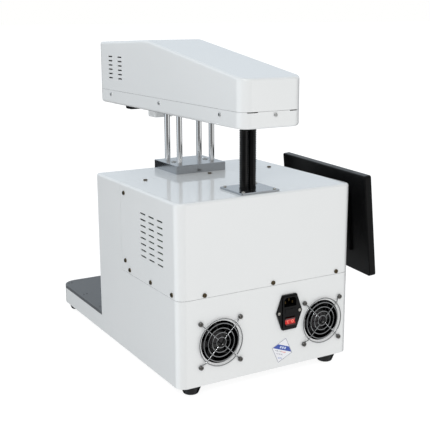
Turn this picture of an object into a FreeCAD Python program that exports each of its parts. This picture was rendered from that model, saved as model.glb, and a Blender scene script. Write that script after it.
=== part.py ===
import FreeCAD
import Part
import Sketcher
import math
import os

# A desktop hot foil stamper: a sheet-metal cabinet with a low bed in front, a long
# printing head carried on four guide rods, and a touch screen on a folding arm.
# All lengths are millimetres. The pieces are laid out in the machine's own frame: x = 0
# on the cabinet's centre line, y = 0 on its back face with the bed towards -y, z = 0 on
# the floor. Each finished node is then moved so the origin is under the middle of the
# whole machine.

os.makedirs("parts", exist_ok=True)
V = FreeCAD.Vector
doc = FreeCAD.newDocument("hot_foil_stamper")
sheet = doc.addObject("Spreadsheet::Sheet", "Sizes")

SIZES = [
    # cabinet and bed
    ("cabinet_width", 326), ("cabinet_depth", 308), ("cabinet_height", 295),
    ("foot_height", 17), ("bed_length", 213), ("bed_skirt", 30), ("bed_thick", 6),
    ("skin", 1.5), ("rear_corner", 15), ("bed_corner", 28), ("top_bend", 4),
    ("seam_rise", 143), ("cover_depth", 208), ("seam_gap", 0.6),
    ("foot_radius", 18), ("foot_tip", 12), ("foot_inset", 31),
    ("front_inset", 24),
    # fans and inlet on the back wall
    ("fan_size", 80), ("fan_pitch", 71.5), ("fan_bore", 76), ("fan_depth", 25),
    ("fan_window", 70), ("guard_wire", 1.6), ("guard_ring", 38.6), ("guard_step", 7.5),
    ("fan_rise", 67), ("fan_right", 90), ("fan_left", -106),
    ("inlet_side", -39), ("inlet_rise", 94),
    # lifting gear
    ("rod_radius", 5), ("rod_gap_x", 65), ("rod_gap_y", 47), ("lift_from_back", 264),
    ("flange_thick", 15),
    ("travel", 80), ("running_gap", 0.05), ("seat_gap", 0.02),
    ("screw_radius", 5), ("lift_plate_z", 184), ("lift_plate_thick", 10),
    # printing head
    ("head_width", 112), ("head_length", 553), ("head_behind", 8), ("head_base", 103),
    ("tray_height", 26), ("lid_back", 50), ("lid_ridge", 100), ("lid_front", 92),
    ("ridge_from_back", 326), ("head_corner", 19), ("head_edge", 4),
    ("feed_travel", 70), ("rail_radius", 4), ("rail_gap", 76),
    # conduits
    ("conduit_radius", 7.2), ("conduit_x", 14.5), ("conduit_y", -42), ("gland_x", 11), ("rib_pitch", 3.6),
    # screen
    ("screen_long", 282), ("screen_tall", 175), ("screen_thick", 13),
    ("screen_yaw", -5.8), ("screen_tilt", 5.5), ("screen_rise", 219),
    ("screen_reach", 74.5), ("screen_behind", 14),
    ("screw_head", 2),
]
for row, (name, value) in enumerate(SIZES, start=1):
    sheet.set("A%d" % row, name)
    sheet.set("B%d" % row, str(value))
    sheet.setAlias("B%d" % row, name)

# Sizes that follow from the ones above.
DERIVED = [
    ("floor_pan", "=foot_height"),
    ("top_z", "=foot_height + cabinet_height"),
    ("seam_z", "=foot_height + seam_rise"),
    ("bed_z", "=foot_height + bed_skirt"),
    ("half", "=cabinet_width / 2"),
    ("front_y", "=-cabinet_depth - bed_length"),
    ("head_z", "=top_z + head_base"),
    ("head_seam", "=head_z + tray_height"),
    ("head_front", "=head_behind - head_length"),
    ("head_half", "=head_width / 2"),
    ("carriage_at", "=head_length - 62"),
    ("flange_width", "=rod_gap_x + 34"),
    ("flange_depth", "=rod_gap_y + 41"),
    ("shift_x", "=(screw_head - screen_reach) / 2"),
    ("shift_y", "=(head_front + screen_behind) / 2"),
]
for row, (name, formula) in enumerate(DERIVED, start=len(SIZES) + 1):
    sheet.set("A%d" % row, name)
    sheet.set("B%d" % row, formula)
    sheet.setAlias("B%d" % row, name)
working = doc.addObject("Spreadsheet::Sheet", "Working")
doc.recompute()

NAMES = sorted([n for n, _ in SIZES + DERIVED], key=len, reverse=True)
nodes = []


def ex(text):
    """Turn @name into the sheet cell of that name."""
    for name in NAMES:
        text = text.replace("@" + name, "Sizes." + name)
    return text


def num(text):
    """The value of an expression of sheet cells, for what is placed in code."""
    working.set("A1", "=" + ex(text))
    working.recompute()
    return float(working.get("A1"))


def put(obj, prop, value):
    if isinstance(value, str):
        obj.setExpression(prop, ex(value))
    else:
        obj.setExpression(prop, repr(float(value)))


def at(obj, x, y, z):
    for axis, value in zip("xyz", (x, y, z)):
        put(obj, "Placement.Base.%s" % axis, value)


AXES = {"z": FreeCAD.Rotation(), "x": FreeCAD.Rotation(V(0, 1, 0), 90),
        "y": FreeCAD.Rotation(V(1, 0, 0), -90)}


def box(x, y, z, dx, dy, dz):
    obj = doc.addObject("Part::Box", "box")
    put(obj, "Length", dx)
    put(obj, "Width", dy)
    put(obj, "Height", dz)
    at(obj, x, y, z)
    return obj


def mid_box(x, y, z, dx, dy, dz):
    """A box centred on x and y, standing on z."""
    return box("%s - (%s) / 2" % (x, dx), "%s - (%s) / 2" % (y, dy), z, dx, dy, dz)


def rod(x, y, z, radius, length, axis="z"):
    obj = doc.addObject("Part::Cylinder", "rod")
    put(obj, "Radius", radius)
    put(obj, "Height", length)
    obj.Placement = FreeCAD.Placement(V(), AXES[axis])
    at(obj, x, y, z)
    return obj


def ring(x, y, z, radius, wire, axis="y"):
    obj = doc.addObject("Part::Torus", "ring")
    put(obj, "Radius1", radius)
    put(obj, "Radius2", wire)
    obj.Placement = FreeCAD.Placement(V(), AXES[axis])
    at(obj, x, y, z)
    return obj


def fuse(*parts):
    obj = doc.addObject("Part::MultiFuse", "fuse")
    obj.Shapes = list(parts)
    return obj


def cut(base, *tools):
    obj = doc.addObject("Part::Cut", "cut")
    obj.Base = base
    obj.Tool = tools[0] if len(tools) == 1 else fuse(*tools)
    return obj


def common(first, second):
    obj = doc.addObject("Part::Common", "common")
    obj.Base = first
    obj.Tool = second
    return obj


def prism(points, low, high, plane="YZ"):
    """A sketched outline, each corner bound to the sheet, padded between two values."""
    body = doc.addObject("PartDesign::Body", "body")
    doc.recompute()
    role = {"YZ": "YZ_Plane", "XZ": "XZ_Plane", "XY": "XY_Plane"}[plane]
    origin = [f for f in body.Origin.OriginFeatures if f.Role == role][0]
    sketch = body.newObject("Sketcher::SketchObject", "outline")
    sketch.AttachmentSupport = [(origin, "")]
    sketch.MapMode = "FlatFace"
    corners = [V(num(a), num(b), 0) for a, b in points]
    count = len(corners)
    for i in range(count):
        sketch.addGeometry(Part.LineSegment(corners[i], corners[(i + 1) % count]), False)
    for i in range(count):
        sketch.addConstraint(Sketcher.Constraint("Coincident", i, 2, (i + 1) % count, 1))
    for i, (a, b) in enumerate(points):
        for kind, text, value in (("DistanceX", a, corners[i].x), ("DistanceY", b, corners[i].y)):
            n = sketch.addConstraint(Sketcher.Constraint(kind, -1, 1, i, 1, value))
            sketch.setExpression("Constraints[%d]" % n, ex(text))
    # The pad runs both ways from the plane; the sketch is lifted to its middle.
    sketch.setExpression("AttachmentOffset.Base.z", ex("((%s) + (%s)) / 2" % (low, high)))
    pad = body.newObject("PartDesign::Pad", "pad")
    pad.Profile = sketch
    pad.Midplane = True
    pad.setExpression("Length", ex("(%s) - (%s)" % (high, low)))
    body.Tip = pad
    doc.recompute()
    return body


def upright(edge):
    a, b = edge.Vertexes[0].Point, edge.Vertexes[-1].Point
    return abs(a.x - b.x) < 1e-6 and abs(a.y - b.y) < 1e-6 and abs(a.z - b.z) > 1e-6


def soften(base, radius, pick):
    """Round the edges that pick() chooses."""
    doc.recompute()
    r = num(radius) if isinstance(radius, str) else radius
    chosen = [i + 1 for i, e in enumerate(base.Shape.Edges) if pick(e)]
    if not chosen:
        raise ValueError("no edge to round on " + base.Label)
    obj = doc.addObject("Part::Fillet", "round")
    obj.Base = base
    obj.Edges = [(i, r, r) for i in chosen]
    doc.recompute()
    return obj


def bevel(base, size, pick):
    doc.recompute()
    obj = doc.addObject("Part::Chamfer", "bevel")
    obj.Base = base
    obj.Edges = [(i + 1, size, size) for i, e in enumerate(base.Shape.Edges) if pick(e)]
    doc.recompute()
    return obj


def corner_at(x_test, y_test):
    def pick(e):
        if not upright(e):
            return False
        p = e.Vertexes[0].Point
        return x_test(p.x) and y_test(p.y)
    return pick


def flat_at(z, tol=1e-4):
    return lambda e: all(abs(v.Point.z - z) < tol for v in e.Vertexes)


def solid(shape):
    """A shape with no primitive of its own."""
    obj = doc.addObject("Part::Feature", "shape")
    obj.Shape = shape
    return obj


def copies(base, places):
    """One solid for each placement of the base piece."""
    doc.recompute()
    made = []
    for place in places:
        piece = base.Shape.copy()
        piece.Placement = place.multiply(piece.Placement)
        made.append(piece)
    return solid(Part.makeCompound(made))


def group(*parts):
    """Separate solids that share one node."""
    doc.recompute()
    return solid(Part.makeCompound([s.copy() for p in parts for s in p.Shape.Solids]))


def node(name, obj, moved=True):
    obj.Label = name
    if moved:
        for axis, cell in (("x", "shift_x"), ("y", "shift_y")):
            base = {"x": obj.Placement.Base.x, "y": obj.Placement.Base.y}[axis]
            obj.setExpression("Placement.Base.%s" % axis, "%r - Sizes.%s" % (base, cell))
    nodes.append(obj)
    return obj


def spread(xs, ys, z=0.0, rotation=None):
    turn = rotation or FreeCAD.Rotation()
    return [FreeCAD.Placement(V(x, y, z), turn) for x in xs for y in ys]


def pan_screw(shank_radius, shank_length, head_radius, head_height):
    """A cross-head screw with its shank down -z and its head on z = 0."""
    head = rod(0, 0, 0, head_radius, head_height)
    head = soften(head, head_height * 0.45, flat_at(head_height))
    body = fuse(head, rod(0, 0, -shank_length, shank_radius, shank_length))
    slot = head_radius * 1.1
    a = box(-slot / 2, -0.35, head_height - 0.9, slot, 0.7, 1)
    b = box(-0.35, -slot / 2, head_height - 0.9, 0.7, slot, 1)
    return cut(body, a, b)


H = num("@half")
T = num("@skin")
TOP = num("@top_z")
SEAM = num("@seam_z")
BED = num("@bed_z")
LOW = num("@floor_pan")
DEPTH = num("@cabinet_depth")
FRONT = num("@front_y")
COVER = num("@cover_depth")

# ---- main casing: side walls, bed skirt, front wall and the front strip of the top ----
profile = [("0", "@floor_pan"), ("0", "@seam_z"), ("-@cover_depth", "@seam_z"),
           ("-@cover_depth", "@top_z"), ("-@cabinet_depth", "@top_z"),
           ("-@cabinet_depth", "@bed_z"), ("@front_y", "@bed_z"), ("@front_y", "@floor_pan")]
outer = prism(profile, "-@half", "@half")
outer = soften(outer, "@rear_corner", corner_at(lambda x: True, lambda y: abs(y) < 0.01))
outer = soften(outer, "@bed_corner", corner_at(lambda x: True, lambda y: abs(y - FRONT) < 0.01))
outer = soften(outer, "@top_bend", lambda e: flat_at(TOP)(e) and abs(
    e.Vertexes[0].Point.y - e.Vertexes[-1].Point.y) > 5)
inside = [("-@skin", "@floor_pan + @skin"), ("-@skin", "@seam_z + 1"),
          ("1 - @cover_depth", "@seam_z + 1"),
          ("1 - @cover_depth", "@top_z - @skin"), ("@skin - @cabinet_depth", "@top_z - @skin"),
          ("@skin - @cabinet_depth", "@bed_z - @skin"), ("@front_y + @skin", "@bed_z - @skin"),
          ("@front_y + @skin", "@floor_pan + @skin")]
hollow = prism(inside, "@skin - @half", "@half - @skin")
hollow = soften(hollow, "@rear_corner - @skin", corner_at(lambda x: True, lambda y: abs(y + T) < 0.01))
hollow = soften(hollow, "@bed_corner - @skin",
                corner_at(lambda x: True, lambda y: abs(y - FRONT - T) < 0.01))
hollow = soften(hollow, "@top_bend - @skin", lambda e: flat_at(TOP - T)(e) and abs(
    e.Vertexes[0].Point.y - e.Vertexes[-1].Point.y) > 5)
# the base opening leaves a ledge all round for the base pan
opening = box("12 - @half", "@front_y + 12", "@floor_pan - 1", "@cabinet_width - 24",
              "@cabinet_depth + @bed_length - 24", "@skin + 2")
shell = cut(outer, hollow, opening)
# ledges behind the rear cover's edges, which take its screws
ledges = []
for side in (-1, 1):
    inner = "@half - @skin" if side > 0 else "@skin - @half"
    x0 = inner + " - 1.5" if side > 0 else inner
    ledges.append(box(x0, "-@cover_depth - 14", "@seam_z - 12", 1.5, "@cover_depth - 4", 24))
    ledges.append(box(x0, "-@cover_depth - 14", "@seam_z + 12", 1.5, 28, "@cabinet_height - @seam_rise - 24"))
ledges.append(box("22 - @half", "-@skin - 1.5", "@seam_z - 12", "@cabinet_width - 44", 1.5, 24))
ledges.append(box("12 - @half", "-@cover_depth - 14", "@top_z - @skin - 1.5",
                  "@cabinet_width - 24", 28, 1.5))
shell = fuse(shell, *ledges)

SIDE_SCREWS = [(-192.5, TOP - 15.5), (-192.5, TOP - 132), (-175.5, SEAM + 7),
               (-95.5, SEAM + 7), (-15.5 - 6, SEAM + 7)]
BACK_SCREWS = [(118, SEAM + 5), (-8, SEAM + 5), (-134, SEAM + 5)]
TOP_SCREWS = [(119, -201), (-6, -201), (-131, -201)]
FANS = [("right", "@fan_right"), ("left", "@fan_left")]
FAN_Z = num("@foot_height + @fan_rise")
PITCH = num("@fan_pitch") / 2


def screw_holes(radius):
    tools = []
    for y, z in SIDE_SCREWS:
        tools.append(rod(-H - 5, y, z, radius, 10, "x"))
        tools.append(rod(H - 5, y, z, radius, 10, "x"))
    for x, z in BACK_SCREWS:
        tools.append(rod(x, -6, z, radius, 10, "y"))
    for x, y in TOP_SCREWS:
        tools.append(rod(x, y, TOP - 5, radius, 10, "z"))
    return tools


holes = screw_holes(1.6)
for side, cell in FANS:
    holes.append(rod(cell, -4, "@foot_height + @fan_rise", "@fan_window / 2", 8, "y"))
    for sx in (-1, 1):
        for sz in (-1, 1):
            holes.append(rod(num(cell) + sx * PITCH, -4, FAN_Z + sz * PITCH, 2.1, 8, "y"))
IX = num("@inlet_side")
IZ = num("@foot_height + @inlet_rise")
holes.append(box(IX - 14, -4, IZ - 26.5, 28, 8, 51))
for s in (-1, 1):
    holes.append(rod(IX + s * 20.2, -4, IZ, 1.6, 8, "y"))
LY = num("-@lift_from_back")
RX = num("@rod_gap_x") / 2
RY = num("@rod_gap_y") / 2
for sx in (-1, 1):
    for sy in (-1, 1):
        holes.append(rod(sx * RX, LY + sy * RY, TOP - 4, 10.9, 8))
    holes.append(rod(sx * RX, LY, TOP - 4, 2.6, 8))
holes.append(rod(0, LY, TOP - 4, 6, 8))
# four holes in the side wall for the screen bracket, on the far side from the vents
for y in (-282, -242):
    for z in (207, 257):
        holes.append(rod(-H - 4, y, z, 1.6, 8, "x"))
casing = cut(shell, *holes)
node("main_casing", casing)

# ---- rear cover: top, back and sides above the seam --------------------------------
cover_z = "@seam_z + @seam_gap"
cover = box("-@half", "-@cover_depth", cover_z, "@cabinet_width", "@cover_depth",
            "@top_z - @seam_z - @seam_gap")
cover = soften(cover, "@rear_corner", corner_at(lambda x: True, lambda y: abs(y) < 0.01))
cover = soften(cover, "@top_bend", lambda e: flat_at(TOP)(e) and
               not all(abs(v.Point.y + COVER) < 0.01 for v in e.Vertexes))
cavity = box("@skin - @half", "-@cover_depth - 2", "@seam_z - 2", "@cabinet_width - 2 * @skin",
             "@cover_depth + 2 - @skin", "@top_z - @seam_z - @skin + 2")
cavity = soften(cavity, "@rear_corner - @skin", corner_at(lambda x: True, lambda y: abs(y + T) < 0.01))
cavity = soften(cavity, "@top_bend - @skin", lambda e: flat_at(TOP - T)(e) and
                not all(abs(v.Point.y + COVER + 2) < 0.01 for v in e.Vertexes))
front_gap = box("-@half - 1", "-@cover_depth - 1", "@seam_z", "@cabinet_width + 2",
                "1 + @seam_gap", "@cabinet_height")
tools = [cavity, front_gap] + screw_holes(1.6)
for row in range(8):
    for y in (-120.5, -90.5, -60):
        for x in (-H - 4, H - 4):
            slot = box(x, y - 10, TOP - 38.5 - 10.1 * row, 8, 20, 2.6)
            tools.append(slot)
CX = num("@conduit_x")
CY = num("@conduit_y")
GX = num("@gland_x")
tools.append(box(CX - 20, CY - 12, TOP - 4, 40, 24, 8))
for x, y in ((-29, -28), (29, -28), (-29, 28), (29, 28)):
    tools.append(rod(GX + x, CY + y, TOP - 4, 1.6, 8))
node("rear_cover", cut(cover, *tools))

# ---- base pan, feet and bed plate ---------------------------------------------------
pan = box("5 - @half", "@front_y + 5", "@floor_pan + @skin", "@cabinet_width - 10",
          "@cabinet_depth + @bed_length - 10", "@skin")
pan = soften(pan, "@bed_corner - 2", corner_at(lambda x: True, lambda y: y < -300))
pan = soften(pan, "@rear_corner - 2", corner_at(lambda x: True, lambda y: y > -300))
slots = [mid_box("0", "%r" % (-DEPTH - 150 + 16 * i), "@floor_pan", 120.0, 3.0, 5.0)
         for i in range(6)]
node("base_pan", cut(pan, *slots))

foot = doc.addObject("Part::Cone", "foot")
put(foot, "Radius1", "@foot_tip")
put(foot, "Radius2", "@foot_radius")
put(foot, "Height", "@foot_height - 2")
foot = fuse(foot, rod(0, 0, "@foot_height - 2", "@foot_radius", 2),
            rod(0, 0, "@foot_height - 2", "@foot_radius - 9", "2 + @skin"))
foot = soften(foot, 2, flat_at(0))
foot = cut(foot, rod(0, 0, -1, 5, 6))
inset = num("@foot_inset")
near = H - num("@front_inset")
node("feet", copies(foot, spread((inset - H, H - inset), (-22,)) +
                    spread((-near, near), (FRONT + 22,))))

plate_points = [("-@half", "@front_y"), ("@half", "@front_y"),
                ("@half", "-@cabinet_depth - 0.3"), ("-@half", "-@cabinet_depth - 0.3")]
plate = prism(plate_points, "@bed_z", "@bed_z + @bed_thick", "XY")
plate = soften(plate, "@bed_corner", corner_at(lambda x: True, lambda y: abs(y - FRONT) < 0.01))
plate = soften(plate, 0.8, flat_at(BED + num("@bed_thick")))
BED_HOLES = []
for sx in (-1, 1):
    for y in (-339, -421, -503):
        BED_HOLES.append((sx * (H - 9), y))
        BED_HOLES.append((sx * (H - 15.5), y))
tools = [rod(x, y, BED - 1, 1.65, "@bed_thick + 2") for x, y in BED_HOLES]
node("bed_plate", cut(plate, *tools))

# ---- flange plate, bushes and backing plate on the front strip ------------------------
FW = num("@flange_width")
FD = num("@flange_depth")
FT = num("@flange_thick")
corners = [("-@flange_width / 2", "-@lift_from_back - @flange_depth / 2"),
           ("@flange_width / 2", "-@lift_from_back - @flange_depth / 2"),
           ("@flange_width / 2", "@flange_depth / 2 - @lift_from_back"),
           ("-@flange_width / 2", "@flange_depth / 2 - @lift_from_back")]
flange = prism(corners, "@top_z", "@top_z + @flange_thick", "XY")
flange = bevel(flange, 0.6, lambda e: flat_at(TOP + FT)(e) or upright(e))
tools = []
for sx in (-1, 1):
    for sy in (-1, 1):
        tools.append(rod(sx * RX, LY + sy * RY, TOP - 1, "10.5 + @seat_gap", "@flange_thick - 1"))
        tools.append(rod(sx * RX, LY + sy * RY, TOP, "@rod_radius + 0.35", "@flange_thick + 1"))
    tools.append(rod(sx * RX, LY, TOP - 1, 2.6, "@flange_thick + 2"))
    tools.append(rod(sx * RX, LY, TOP + FT - 3.5, 5.2, 5))
node("flange_plate", cut(flange, *tools))

bush = cut(rod(0, 0, TOP - 16, 10.5, "@flange_thick + 14"),
           rod(0, 0, TOP - 17, "@rod_radius + @running_gap", "@flange_thick + 17"))
node("rod_bushes", copies(bush, spread((-RX, RX), (LY - RY, LY + RY))))

backing = mid_box("0", "-@lift_from_back", "@top_z - @skin - 8", "@rod_gap_x + 31", "@rod_gap_y + 25", "8")
tools = []
for sx in (-1, 1):
    for sy in (-1, 1):
        tools.append(rod(sx * RX, LY + sy * RY, TOP - 12, "10.5 + @seat_gap", 12))
    tools.append(rod(sx * RX, LY, TOP - 12, "2.5 + @seat_gap", 12))
tools.append(rod(0, LY, TOP - 18, "@screw_radius + @running_gap", 18))
backing = fuse(backing, rod(0, LY, TOP - T - 8 - 6, 11, 6.5))
node("flange_backing", cut(backing, *tools))

cap = cut(rod(0, 0, 0, 4.5, 5), rod(0, 0, 2, 2.3, 4))
cap = soften(cap, 0.5, lambda e: flat_at(5)(e) and abs(e.Curve.Radius - 4.5) < 0.01)
bolt = fuse(cap, rod(0, 0, -19, 2.5, 19))
node("flange_bolts", copies(bolt, spread((-RX, RX), (LY,), TOP + FT - 3.5)))

# ---- lifting gear in the cabinet -------------------------------------------------------
PAN = num("@floor_pan + 2 * @skin")
motor = mid_box("0", "-@lift_from_back", "@floor_pan + 2 * @skin", "42", "42", "40")
motor = bevel(motor, 4, upright)
motor = cut(motor, rod(0, LY, PAN + 30, 2.7, 12))
groove = [mid_box("0", "-@lift_from_back", "@floor_pan + 2 * @skin + 8", "44", "44", "1"),
          mid_box("0", "-@lift_from_back", "@floor_pan + 2 * @skin + 31", "44", "44", "1")]
core = mid_box("0", "-@lift_from_back", "@floor_pan", "40", "40", "60")
band = [cut(g, core) for g in groove]
node("lift_motor", cut(motor, *band))

coupler = fuse(rod(0, LY, PAN + 42, 9.5, 18), rod(0, LY, PAN + 34, 2.5, 9))
bottom = rod(0, LY, PAN + 52, "@screw_radius + @seat_gap", 12)
node("shaft_coupler", cut(coupler, bottom, mid_box("0", "-@lift_from_back", "@floor_pan + 54",
                                                   "20", "0.8", "9")))

# The screw's thread is drawn as shallow rings, one for each turn.
pitch = 4
low_z = PAN + 52
high_z = TOP - 4
radius = num("@screw_radius")
points = [V(0, 0, low_z), V(radius, 0, low_z), V(radius, 0, low_z + 12)]
z = low_z + 12
while z < high_z - 18:
    points += [V(radius, 0, z + 1.5), V(radius - 0.9, 0, z + 2),
               V(radius - 0.9, 0, z + 3.5), V(radius, 0, z + 4)]
    z += pitch
points += [V(radius, 0, high_z), V(0, 0, high_z)]
face = Part.Face(Part.makePolygon(points + [points[0]]))
spindle = face.revolve(V(0, 0, 0), V(0, 0, 1), 360)
lead = solid(spindle)
lead.Placement = FreeCAD.Placement(V(0, LY, 0), FreeCAD.Rotation())
node("lead_screw", lead)

LP = num("@lift_plate_z")
plate = mid_box("0", "-@lift_from_back", "@lift_plate_z", "@rod_gap_x + 31", "@rod_gap_y + 29",
                "@lift_plate_thick")
plate = bevel(plate, 6, upright)
tools = [rod(sx * RX, LY + sy * RY, LP - 1, "@rod_radius + @seat_gap", 12)
         for sx in (-1, 1) for sy in (-1, 1)]
tools.append(rod(0, LY, LP - 1, "@screw_radius + 1", 12))
node("lift_plate", cut(plate, *tools))
nut = fuse(rod(0, LY, LP - 6, 14, 6), rod(0, LY, LP - 20, 8, 14.5))
node("lead_nut", cut(nut, rod(0, LY, LP - 21, "@screw_radius + @running_gap", 22)))

# ---- guide rods and the block that holds them in the head --------------------------------
HZ = num("@head_z")
guide = rod(0, 0, LP, "@rod_radius", "@head_z + 36 - @lift_plate_z")
guide = bevel(guide, 0.8, lambda e: True)
node("guide_rods", copies(guide, spread((-RX, RX), (LY - RY, LY + RY))))
clamp = mid_box("0", "-@lift_from_back", "@head_z + @skin", "@rod_gap_x + 23", "@rod_gap_y + 19", "36")
tools = [rod(sx * RX, LY + sy * RY, HZ, "@rod_radius + @seat_gap", 36)
         for sx in (-1, 1) for sy in (-1, 1)]
tools.append(mid_box("0", "-@lift_from_back", "@head_z", "34", "80", "60"))
tools[-1] = common(tools[-1], mid_box("0", "-@lift_from_back", "@head_z + 14", "34", "44", "60"))
node("rod_clamp_block", cut(clamp, *tools))

# ---- head tray --------------------------------------------------------------------------
W2 = num("@head_half")
YB = num("@head_behind")
YF = num("@head_front")
HS = num("@head_seam")
tray = box("-@head_half", "@head_front", "@head_z", "@head_width", "@head_length", "@tray_height")
tray = soften(tray, "@head_corner", upright)
tray = soften(tray, 5, flat_at(HZ))
room = box("@skin - @head_half", "@head_front + @skin", "@head_z + @skin", "@head_width - 2 * @skin",
           "@head_length - 2 * @skin", "@tray_height")
room = soften(room, "@head_corner - @skin", upright)
room = soften(room, 3.5, flat_at(HZ + T))
SLOT_Y = num("-@carriage_at") - 18
tools = [room, box(-24, SLOT_Y, HZ - 2, 48, "@feed_travel + 36", 10)]
for sx in (-1, 1):
    for sy in (-1, 1):
        tools.append(rod(sx * RX, LY + sy * RY, HZ - 2, "@rod_radius + 0.5", 10))
for s in (-1, 1):
    tools.append(rod(CX + s * 7.4, CY, HZ - 2, "@conduit_radius + 0.05", 10))
HEAD_SCREWS = [YF + 61, -271, -58]
for y in HEAD_SCREWS:
    tools.append(rod(-W2 - 5, y, HZ + 18, 1.6, 12, "x"))
    tools.append(rod(W2 - 7, y, HZ + 18, 1.6, 12, "x"))
tools.append(rod(-3.5, YB - 7, HZ + 20.5, 1.6, 12, "y"))
# the seam is relieved in two places at the back
for low_x, high_x in ((28, 46), (-44, -30)):
    tools.append(box(low_x, YB - 4, HS - 1.2, high_x - low_x, 8, 3))
node("head_tray", cut(tray, *tools))

# ---- head cover ----------------------------------------------------------------------------
outline = [("@head_behind", "@head_seam + 0.4"), ("@head_behind", "@head_seam + @lid_back"),
           ("@head_behind - @ridge_from_back", "@head_seam + @lid_ridge"),
           ("@head_front", "@head_seam + @lid_front"), ("@head_front", "@head_seam + 0.4")]
lid = prism(outline, "-@head_half", "@head_half")
lid = soften(lid, "@head_corner", upright)
RIDGE = num("@head_behind - @ridge_from_back")
lid = soften(lid, 60, lambda e: e.BoundBox.YLength < 0.01 and abs(e.BoundBox.YMin - RIDGE) < 1
             and e.BoundBox.XLength > 20)
lid = soften(lid, "@head_edge", lambda e: e.BoundBox.ZMin > HS + num("@lid_back") - 8 and not
             (e.BoundBox.XLength > num("@head_width") - 1 and e.BoundBox.YMax < YB - 30
              and e.BoundBox.YMin > YF + 30))
inner = [("@head_behind - @skin", "@head_seam - 2"),
         ("@head_behind - @skin", "@head_seam + @lid_back - @skin"),
         ("@head_behind - @ridge_from_back", "@head_seam + @lid_ridge - @skin"),
         ("@head_front + @skin", "@head_seam + @lid_front - @skin"),
         ("@head_front + @skin", "@head_seam - 2")]
void = prism(inner, "@skin - @head_half", "@head_half - @skin")
void = soften(void, "@head_corner - @skin", upright)
void = soften(void, "@head_edge - @skin", lambda e: e.BoundBox.ZMin > HS + num("@lid_back") - 8 and not
              (abs(e.BoundBox.YMin - RIDGE) < 1 and abs(e.BoundBox.YMax - RIDGE) < 1))
lid = cut(lid, void)
tabs = []
for y in HEAD_SCREWS:
    tabs.append(box(-W2 + T, y - 8, HZ + 12, 1.5, 16, 30))
    tabs.append(box(W2 - T - 1.5, y - 8, HZ + 12, 1.5, 16, 30))
tabs.append(box(-3.5 - 8, YB - T - 1.5, HZ + 12, 16, 1.5, 30))
lid = fuse(lid, *tabs)
tools = []
for y in HEAD_SCREWS:
    tools.append(rod(-W2 - 5, y, HZ + 18, 1.6, 12, "x"))
    tools.append(rod(W2 - 7, y, HZ + 18, 1.6, 12, "x"))
tools.append(rod(-3.5, YB - 7, HZ + 20.5, 1.6, 12, "y"))
for row in range(6):
    for y in (YF + 61.5, YF + 105.5):
        for x in (-W2 - 4, W2 - 4):
            tools.append(box(x, y - 9.5, HS + 64 - 8.2 * row, 8, 19, 2.6))
node("head_cover", cut(lid, *tools))

# ---- screws seen on the outside -----------------------------------------------------------
large = pan_screw(1.5, 5, 3.6, num("@screw_head"))
small = pan_screw(1.5, 5, 3.1, num("@screw_head"))
tiny = pan_screw(1.5, 5, 2.7, 1.6)
turn_r = FreeCAD.Rotation(V(0, 1, 0), 90)
turn_l = FreeCAD.Rotation(V(0, 1, 0), -90)
turn_b = FreeCAD.Rotation(V(1, 0, 0), -90)
places = [FreeCAD.Placement(V(H, y, z), turn_r) for y, z in SIDE_SCREWS]
places += [FreeCAD.Placement(V(-H, y, z), turn_l) for y, z in SIDE_SCREWS]
places += [FreeCAD.Placement(V(x, 0, z), turn_b) for x, z in BACK_SCREWS]
places += [FreeCAD.Placement(V(x, y, TOP), FreeCAD.Rotation()) for x, y in TOP_SCREWS]
light = spread((GX - 29, GX + 29), (CY - 28, CY + 28), TOP + 3)
light += [FreeCAD.Placement(V(IX + s * 20.2, 1.8, IZ), turn_b) for s in (-1, 1)]
light += [FreeCAD.Placement(V(-H - 3, y, z), turn_l) for y in (-282, -242) for z in (207, 257)]
node("casing_screws", group(copies(large, places), copies(tiny, light)))
places = [FreeCAD.Placement(V(W2, y, HZ + 18), turn_r) for y in HEAD_SCREWS]
places += [FreeCAD.Placement(V(-W2, y, HZ + 18), turn_l) for y in HEAD_SCREWS]
places += [FreeCAD.Placement(V(-3.5, YB, HZ + 20.5), turn_b)]
node("head_screws", copies(small, places))

# ---- conduits and their gland plate --------------------------------------------------------
gland = mid_box("@gland_x", "@conduit_y", "@top_z", "72", "68", "3")
gland = soften(gland, 3, upright)
gland = bevel(gland, 0.6, flat_at(TOP + 3))
bore = num("@conduit_radius") + 0.4
tools = [rod(CX + s * 7.4, CY, TOP - 1, bore, 6) for s in (-1, 1)]
for x, y in ((-29, -28), (29, -28), (-29, 28), (29, 28)):
    tools.append(rod(GX + x, CY + y, TOP - 1, 1.6, 6))
node("conduit_gland_plate", cut(gland, *tools))

big = num("@conduit_radius")
step = num("@rib_pitch")
z = TOP - 22
end = HZ + 10
profile = [V(big - 2, 0, z), V(big - 1, 0, z)]
while z + step < end:
    profile += [V(big - 1, 0, z + 0.8), V(big, 0, z + 1.3), V(big, 0, z + 2.7), V(big - 1, 0, z + 3.2)]
    z += step
profile += [V(big - 1, 0, end), V(big - 2, 0, end)]
tube = Part.Face(Part.makePolygon(profile + [profile[0]])).revolve(V(0, 0, 0), V(0, 0, 1), 360)
node("cable_conduits", copies(solid(tube), spread((CX - 7.4, CX + 7.4), (CY,))))
lock_ring = cut(mid_box("@conduit_x", "@conduit_y", "@head_z + @skin", "44", "26", "3"),
                *[rod(CX + s * 7.4, CY, HZ, big + 0.02, 12) for s in (-1, 1)])
node("conduit_clamp", lock_ring)

# ---- fans -------------------------------------------------------------------------------------
grille_screw = pan_screw(1.9, 20, 3.8, 2.4)
# The wire guard: eyes flat on the wall, spokes that bend out from them, rings behind the spokes.
WIRE = num("@guard_wire / 2")
EYE = 3.3
EYE_AT = PITCH * math.sqrt(2)
EYE_Y = WIRE + 0.05
RING_Y = 2.8
SPOKE_Y = RING_Y + 1.5 * WIRE


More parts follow.
